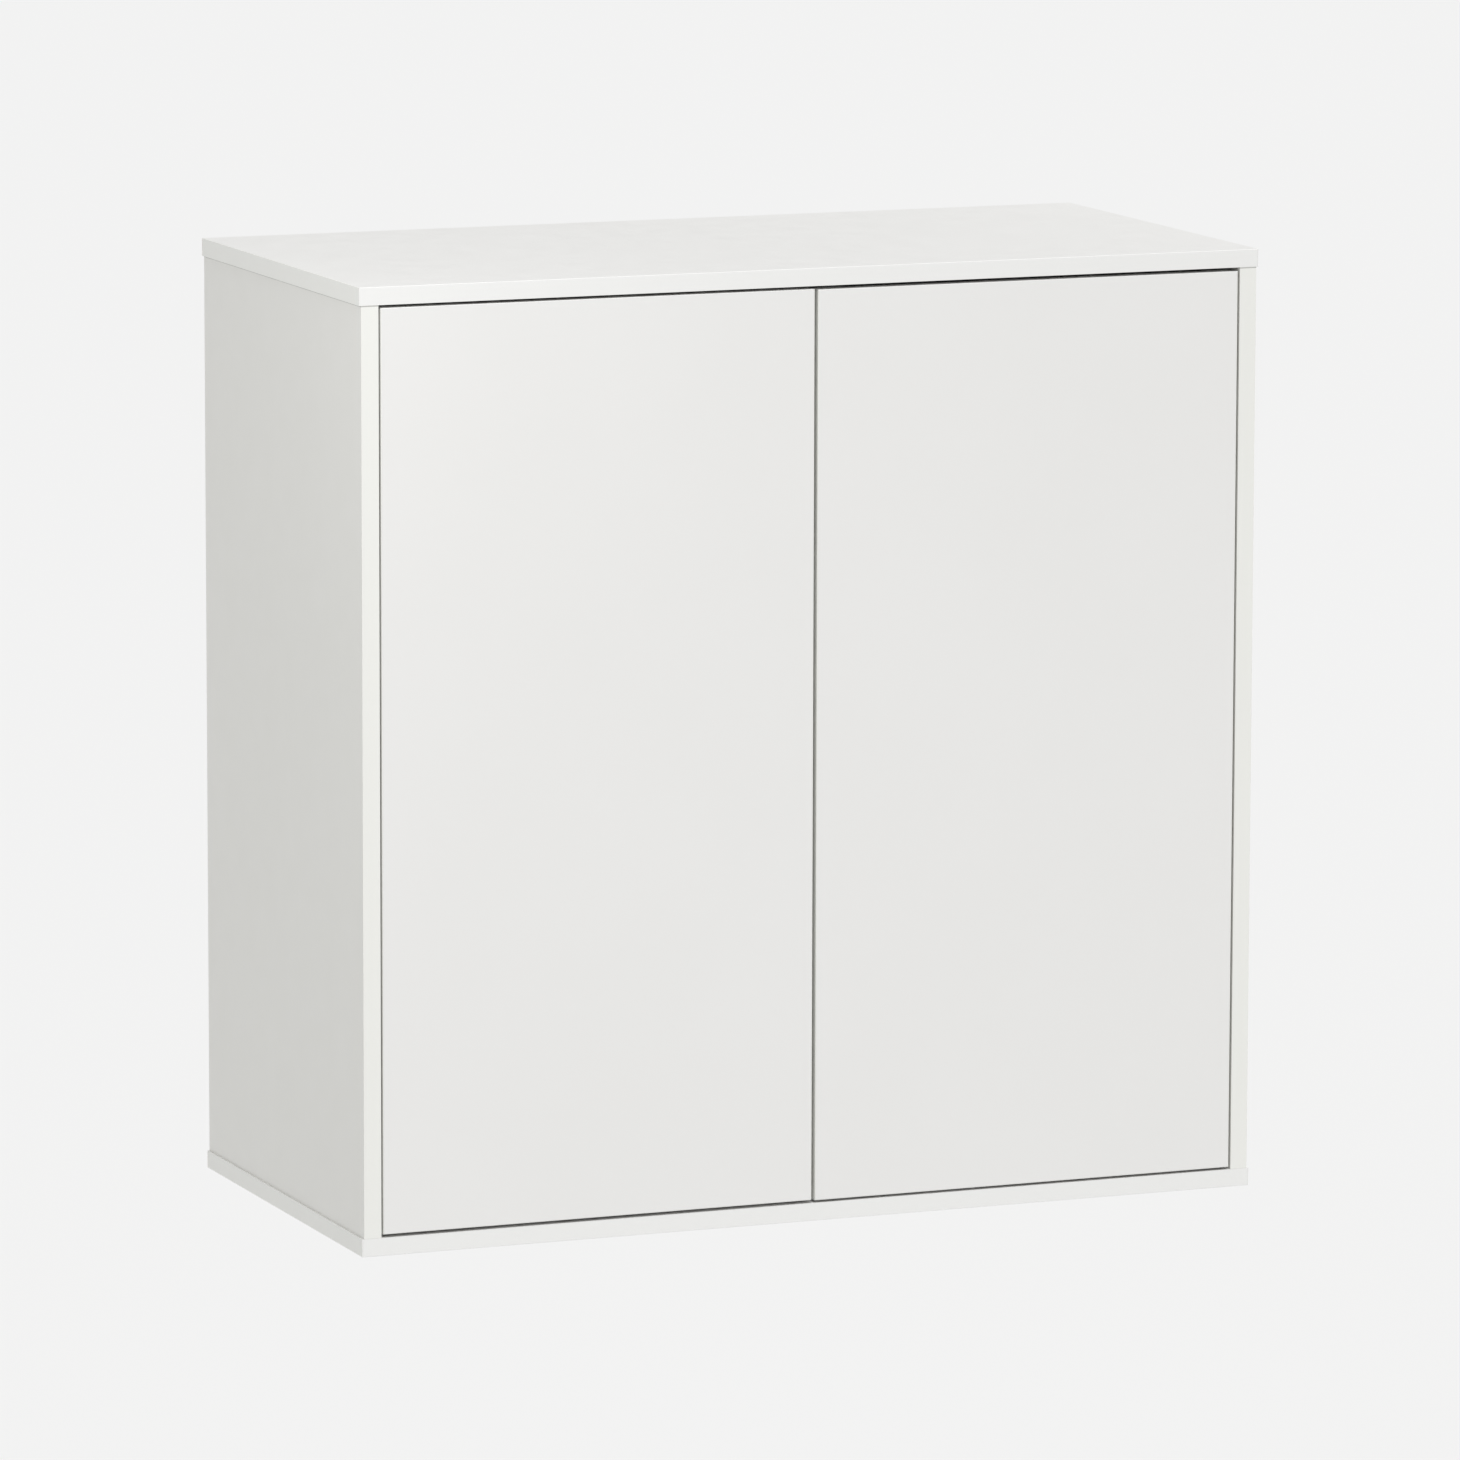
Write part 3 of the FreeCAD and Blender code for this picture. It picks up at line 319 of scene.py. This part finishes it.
def board_finish(name, strips, bare_back, joint_shadows=(), light_tint=(1.0, 1.0, 1.0)):
    """White melamine on chipboard.

    strips are the ends with a glued edge strip. bare_back says that the back edge shows its
    chips. joint_shadows gives the width and darkness of the painted shade line along each end
    that butts against another board: a painted shadow under an overhanging board, partly a dark
    joint line. light_tint tints the whole: painted light, warmer where the sides are lit.
    """
    corner_low, corner_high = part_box(name)
    finish = Finish(name + "_melamine")
    position = finish.axes()
    nearest = []
    for axis in range(3):
        from_low = finish.combine("SUBTRACT", position[axis], corner_low[axis])
        from_high = finish.combine("SUBTRACT", corner_high[axis], position[axis])
        nearest.append((from_low, from_high))
    closest = None
    for pair in nearest:
        least = finish.combine("MINIMUM", *pair)
        closest = least if closest is None else finish.combine("MINIMUM", closest, least)
    cut = finish.combine("GREATER_THAN", closest, LAMINATE_THICKNESS)
    if bare_back:
        size = corner_high - corner_low
        thin_axis = min(range(3), key=lambda axis: size[axis])
        skin_depth = finish.combine("MINIMUM", *nearest[thin_axis])
        in_core = finish.combine("GREATER_THAN", skin_depth, LAMINATE_THICKNESS)
        at_back = finish.combine("LESS_THAN", nearest[1][1], LAMINATE_THICKNESS)
        bare = finish.combine("MULTIPLY", at_back, in_core)
        cut = finish.combine("MAXIMUM", cut, bare)

    cloud = finish.noise(7.0, 4.0, 0.55)
    colour = finish.mix(finish.remap(cloud, 0.35, 0.65, 0.0, 1.0), MELAMINE_DEEP, MELAMINE)
    line = None
    for axis, at_high in strips:
        distance = nearest[axis][1 if at_high else 0]
        off = finish.combine("ABSOLUTE", finish.combine("SUBTRACT", distance, STRIP_THICKNESS))
        mark = finish.combine("LESS_THAN", off, LINE_HALF_WIDTH)
        inside = finish.combine("LESS_THAN", distance, STRIP_THICKNESS)
        line = mark if line is None else finish.combine("MAXIMUM", line, mark)
        # Left and right end strips take the painted side-light tint, and the other strips keep the
        # plain strip colour
        colour = finish.mix(inside, colour, SIDE_LIT_END_STRIP if axis == 0 else EDGE_STRIP)
    if line is not None:
        colour = finish.mix(finish.combine("MULTIPLY", line, GLUE_LINE_STRENGTH), colour, GLUE_LINE)
    colour = finish.mix(cut, colour, chipboard(finish))
    # Painted shade along butting ends: the shadow under an overhanging board, partly a dark joint
    # line
    for (axis, at_high), width, darkness in joint_shadows:
        distance = nearest[axis][1 if at_high else 0]
        shade = finish.combine("MULTIPLY", finish.combine("LESS_THAN", distance, width), darkness)
        colour = finish.mix(shade, colour, JOINT_SHADE)
    # Painted light: light_tint colours the whole board, warmer on the side panels where the side
    # light falls
    finish.set("Base Color", finish.mix(1.0, colour, light_tint, "MULTIPLY"))

    grain = finish.noise(900.0, 2.0, 0.6)
    rough = finish.remap(finish.noise(40.0, 3.0, 0.6), 0.3, 0.7, 0.36, 0.46)
    finish.set("Roughness", finish.combine("MAXIMUM", rough, finish.combine("MULTIPLY", cut, 0.9)))
    peel = finish.bump(finish.noise(320.0, 2.0, 0.5), 0.00002, 0.5)
    fine = finish.bump(grain, 0.00001, 0.4, peel)
    chips = finish.combine("MULTIPLY", cut, finish.noise(600.0, 4.0, 0.7))
    finish.set("Normal", finish.bump(chips, 0.0004, 0.8, fine))
    finish.constant(Specular_IOR_Level=0.42)
    return finish.material


def hardboard_finish(name):
    """Thin board, painted white in front and bare and net-marked behind."""
    corner_low, corner_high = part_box(name)
    middle = (corner_low.y + corner_high.y) / 2
    finish = Finish("hardboard")
    position = finish.axes()
    behind = finish.combine("GREATER_THAN", position[1], middle)
    fibre = finish.noise(180.0, 5.0, 0.65)
    brown = finish.ramp(fibre, (0.25, HARDBOARD_DARK), (0.75, HARDBOARD_LIGHT))
    white = finish.mix(finish.noise(6.0, 3.0), MELAMINE_DEEP, MELAMINE)
    finish.set("Base Color", finish.mix(behind, white, brown))
    finish.set("Roughness", finish.remap(behind, 0.0, 1.0, 0.42, 0.85))
    across = finish.combine("SINE", finish.combine("MULTIPLY", position[0], NET_FREQUENCY))
    along = finish.combine("SINE", finish.combine("MULTIPLY", position[2], NET_FREQUENCY))
    net = finish.combine("MULTIPLY", finish.combine("MULTIPLY", across, along), behind)
    marks = finish.bump(net, 0.00012, 0.8)
    finish.set("Normal", finish.bump(fibre, 0.00003, 0.5, marks))
    return finish.material


def plated_finish(name, colour, worn, rough_low, rough_high):
    """Plated steel: the plating's tone drifts, and rubbing has left fine marks."""
    finish = Finish(name)
    drift = finish.noise(55.0, 4.0, 0.6)
    marks = finish.noise(700.0, 3.0, 0.6, finish.stretched(BRUSHING))
    tone = finish.mix(finish.remap(drift, 0.35, 0.7, 0.0, 1.0), colour, worn)
    tone = finish.mix(finish.remap(marks, 0.45, 0.75, 0.0, 0.35), tone, RUBBED_METAL)
    finish.set("Base Color", tone)
    both = finish.combine("MULTIPLY", finish.combine("ADD", drift, marks), 0.5)
    finish.set("Roughness", finish.remap(both, 0.35, 0.65, rough_low, rough_high))
    finish.set("Normal", finish.bump(marks, 0.000015, 0.6))
    finish.constant(Metallic=1.0)
    return finish.material


def cast_finish():
    finish = Finish("cast_zinc")
    sand = finish.noise(900.0, 3.0, 0.7)
    finish.set("Base Color", finish.mix(sand, CAST_DARK, CAST_LIGHT))
    finish.set("Roughness", finish.remap(sand, 0.3, 0.7, 0.42, 0.62))
    finish.set("Normal", finish.bump(sand, 0.00006, 0.7))
    finish.constant(Metallic=1.0)
    return finish.material


def moulded_finish(name, colour, shade, rough):
    """Moulded plastic with a fine sparked texture and slight flow marks."""
    finish = Finish(name)
    flow = finish.noise(70.0, 3.0, 0.5, finish.stretched((1.0, 0.25, 1.0)))
    finish.set("Base Color", finish.mix(finish.remap(flow, 0.3, 0.7, 0.0, 1.0), colour, shade))
    spark = finish.cells(2600.0)
    finish.set("Roughness", finish.remap(flow, 0.3, 0.7, rough, rough + 0.1))
    finish.set("Normal", finish.bump(spark, 0.00002, 0.5))
    return finish.material


def beech_finish():
    finish = Finish("beech")
    flecks = finish.noise(900.0, 3.0, 0.6, finish.stretched((1.0, 1.0, 0.12)))
    tone = finish.ramp(flecks, (0.30, BEECH_DARK), (0.70, BEECH_LIGHT))
    finish.set("Base Color", tone)
    finish.set("Normal", finish.bump(flecks, 0.00008, 0.6))
    finish.constant(Roughness=0.6)
    return finish.material


# ---------------------------------------------------------------- pieces with eased edges

BEHAVIOUR = frame["record"]["behaviour"]
BODY_OF = {member: body for body, members in BEHAVIOUR["bodies"].items() for member in members}
SLOT_OF = {entry["node"]: entry["material_slot"] for entry in frame["record"]["subparts"]}
SIDES = ("left", "right")
BOARD_EASE = 0.00035
METAL_EASE = 0.00022
PLASTIC_EASE = 0.0005
MERGE_DISTANCE = 1e-6
FLAT_ANGLE = math.radians(0.6)      # faces that meet at less than this are one flat face
SMOOTH_ANGLE = math.radians(50)
EASED_ANGLE = math.radians(38)      # edges sharper than this are rounded over
FACE_WEIGHT = 100


def merged_copy(name, suffix):
    """A selected copy of a CAD node's mesh, with its loose triangles joined up."""
    bpy.ops.object.select_all(action="DESELECT")
    piece = nodes[name].copy()
    piece.data = nodes[name].data.copy()
    piece.parent = None
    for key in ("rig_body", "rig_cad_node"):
        del piece[key]
    piece.name = name + suffix
    bpy.context.scene.collection.objects.link(piece)
    piece.select_set(True)
    bpy.context.view_layer.objects.active = piece
    bpy.ops.object.mode_set(mode="EDIT")
    bpy.ops.mesh.select_all(action="SELECT")
    bpy.ops.mesh.remove_doubles(threshold=MERGE_DISTANCE)
    bpy.ops.object.mode_set(mode="OBJECT")
    return piece


def stand_for(piece, name):
    """Put a piece in a CAD node's stead, on the same body."""
    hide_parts(name)
    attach(piece, BODY_OF[name])
    return piece


def eased(name, width, steps=2):
    """A copy of a CAD node whose sharp edges are rounded over, and which stands for it."""
    piece = merged_copy(name, "_eased")
    bpy.ops.object.mode_set(mode="EDIT")
    bpy.ops.mesh.dissolve_limited(angle_limit=FLAT_ANGLE)
    bpy.ops.object.mode_set(mode="OBJECT")
    bpy.ops.object.shade_smooth_by_angle(angle=SMOOTH_ANGLE)
    rounding = piece.modifiers.new("rounding", "BEVEL")
    rounding.width = width
    rounding.segments = steps
    rounding.limit_method = "ANGLE"
    rounding.angle_limit = EASED_ANGLE
    bpy.ops.object.modifier_apply(modifier="rounding")
    flatness = piece.modifiers.new("flatness", "WEIGHTED_NORMAL")
    flatness.weight = FACE_WEIGHT
    flatness.keep_sharp = True
    bpy.ops.object.modifier_apply(modifier="flatness")
    return stand_for(piece, name)


def coil(side):
    """A latch's spring (the real one shortens as its plunger is pushed in), smoothly shaded and
    given a mesh of its own.
    """
    name = side + "_latch_spring"
    piece = merged_copy(name, "_coil")
    bpy.ops.object.shade_smooth_by_angle(angle=SMOOTH_ANGLE)
    stand_for(piece, name)
    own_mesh(piece)
    return piece


# ---------------------------------------------------------------- fluted dowels

FLUTE_COUNT = 20
FLUTE_MARGIN = 0.00016
FLUTE_DEPTH = 0.00030
DOWEL_CHAMFER = 0.0012
DOWEL_SMOOTH_ANGLE = math.radians(25)
QUARTER_TURN = math.radians(90)


def solid_boxes(name):
    """The lowest and highest corner of each separate solid of a node."""
    merged_copy(name, "_measured")
    bpy.ops.mesh.separate(type="LOOSE")
    boxes = []
    for part in bpy.context.selected_objects:
        points = [vertex.co for vertex in part.data.vertices]
        boxes.append((
            Vector([min(point[axis] for point in points) for axis in range(3)]),
            Vector([max(point[axis] for point in points) for axis in range(3)]),
        ))
    bpy.ops.object.delete()
    return boxes


def fluted_dowel(radius, length):
    """One upright dowel: chamfered ends, and grooves that let the glue and the air out."""
    bpy.ops.object.select_all(action="DESELECT")
    bpy.ops.mesh.primitive_cylinder_add(vertices=2 * FLUTE_COUNT, radius=radius, depth=length)
    dowel = bpy.context.object
    bpy.ops.object.mode_set(mode="EDIT")
    bpy.ops.mesh.select_mode(type="FACE")
    bpy.ops.mesh.select_all(action="DESELECT")
    bpy.ops.object.mode_set(mode="OBJECT")
    for face in dowel.data.polygons:
        face.select = abs(face.normal.z) > 0.9
    bpy.ops.object.mode_set(mode="EDIT")
    bpy.ops.mesh.bevel(offset=DOWEL_CHAMFER, segments=2, affect="EDGES")
    bpy.ops.mesh.select_all(action="DESELECT")
    bpy.ops.object.mode_set(mode="OBJECT")
    for face in dowel.data.polygons:
        turn = math.atan2(face.center.y, face.center.x) / math.pi * FLUTE_COUNT
        face.select = abs(face.normal.z) < 0.01 and math.floor(turn) % 2 == 0
    bpy.ops.object.mode_set(mode="EDIT")
    bpy.ops.mesh.inset(use_individual=True, thickness=FLUTE_MARGIN, depth=-FLUTE_DEPTH)
    bpy.ops.object.mode_set(mode="OBJECT")
    bpy.ops.object.shade_smooth_by_angle(angle=DOWEL_SMOOTH_ANGLE)
    return dowel


def dowels(name):
    """A node's plain dowels, each replaced by a fluted one in the same place."""
    boxes = solid_boxes(name)
    size = boxes[0][1] - boxes[0][0]
    longest = max(range(3), key=lambda axis: size[axis])
    pattern = fluted_dowel(size[(longest + 1) % 3] / 2, size[longest])
    if longest == 0:
        bpy.ops.transform.rotate(value=QUARTER_TURN, orient_axis="Y", center_override=(0, 0, 0))
    bpy.ops.object.transform_apply(location=True, rotation=True, scale=True)
    copies = []
    for lowest, highest in boxes:
        copy = pattern.copy()
        copy.data = pattern.data.copy()
        bpy.context.scene.collection.objects.link(copy)
        copy.location = (lowest + highest) / 2
        copies.append(copy)
    bpy.data.objects.remove(pattern)
    bpy.ops.object.select_all(action="DESELECT")
    for copy in copies:
        copy.select_set(True)
    bpy.context.view_layer.objects.active = copies[0]
    bpy.ops.object.transform_apply(location=True, rotation=True, scale=True)
    bpy.ops.object.join()
    piece = bpy.context.object
    piece.name = name + "_fluted"
    return stand_for(piece, name)


# ---------------------------------------------------------------- which finish goes where

# An end is an axis, and whether it is at that axis's high side
FRONT = (1, False)
LEFT_END = (0, False)
RIGHT_END = (0, True)
FOOT_END = (2, False)
HEAD_END = (2, True)
# End, width of the painted shade line and its darkness: at the head a painted shadow under the
# overhanging top panel, at the foot a faint line, partly a dark joint
SIDE_PANEL_JOINT_SHADOWS = ((HEAD_END, 0.0010, 0.6), (FOOT_END, 0.0004, 0.2))
# Name, colour, colour where worn, and the least and greatest roughness
PLATED = {
    "nickel_steel": ("nickel", (0.62, 0.60, 0.57), (0.54, 0.52, 0.48), 0.20, 0.36),
    "zinc_steel": ("zinc", (0.56, 0.58, 0.61), (0.52, 0.51, 0.44), 0.26, 0.42),
    "spring_steel": ("spring_wire", (0.36, 0.36, 0.37), (0.28, 0.27, 0.26), 0.24, 0.38),
    "magnet": ("magnet_face", (0.46, 0.46, 0.47), (0.40, 0.39, 0.37), 0.30, 0.45),
}
# Colour, colour in the flow marks, and the least roughness
MOULDED = {
    "white_plastic": ((0.80, 0.80, 0.78), (0.76, 0.76, 0.74), 0.38),
    "grey_plastic": ((0.42, 0.43, 0.44), (0.36, 0.37, 0.38), 0.42),
}


def paint(name, material):
    """Give a finish to what shows of a node: the piece that stands for it, or the node itself."""
    shown = new_pieces.get(name, nodes[name])
    shown.data.materials.clear()
    shown.data.materials.append(material)


def paint_all():
    for name in ("top_panel", "bottom_panel"):
        paint(name, board_finish(name, (LEFT_END, RIGHT_END, FRONT), True))
    for name in ("left_side_panel", "right_side_panel"):
        # Side panels get painted shade lines at their ends and the painted warm side-light tint
        paint(name, board_finish(name, (FRONT,), True, SIDE_PANEL_JOINT_SHADOWS, SIDE_LIGHT_TINT))
    for name in ("lower_shelf", "upper_shelf"):
        paint(name, board_finish(name, (FRONT,), True))
    for name in ("upper_rail", "lower_rail"):
        paint(name, board_finish(name, (FOOT_END, HEAD_END), False))
    for name in ("left_door", "right_door"):
        paint(name, board_finish(name, (LEFT_END, RIGHT_END, FOOT_END, HEAD_END), False))
    paint("back_panel", hardboard_finish("back_panel"))
    finishes = {slot: plated_finish(*looks) for slot, looks in PLATED.items()}
    finishes.update({slot: moulded_finish(slot, *looks) for slot, looks in MOULDED.items()})
    finishes.update({"beech": beech_finish(), "cast_zinc": cast_finish()})
    for name, slot in SLOT_OF.items():
        if slot in finishes:
            paint(name, finishes[slot])


BOARDS = [name for name, slot in SLOT_OF.items() if slot in ("white_board", "white_hardboard")]
PLASTICS = [name for name, slot in SLOT_OF.items() if slot == "grey_plastic"]
METAL_PARTS = [side + part for side in SIDES for part in (
    "_hinge_cups", "_hinge_arms", "_mounting_plates", "_strike_plate", "_latch_magnet")]

add_camera()
add_light()
add_floor()
new_pieces = {name: eased(name, BOARD_EASE) for name in BOARDS}
new_pieces.update({name: eased(name, PLASTIC_EASE, 3) for name in PLASTICS})
new_pieces.update({name: eased(name, METAL_EASE) for name in METAL_PARTS})
new_pieces.update({side + "_latch_spring": coil(side) for side in SIDES})
new_pieces.update({name: dowels(name) for name in ("corner_dowels", "rail_dowels")})
paint_all()
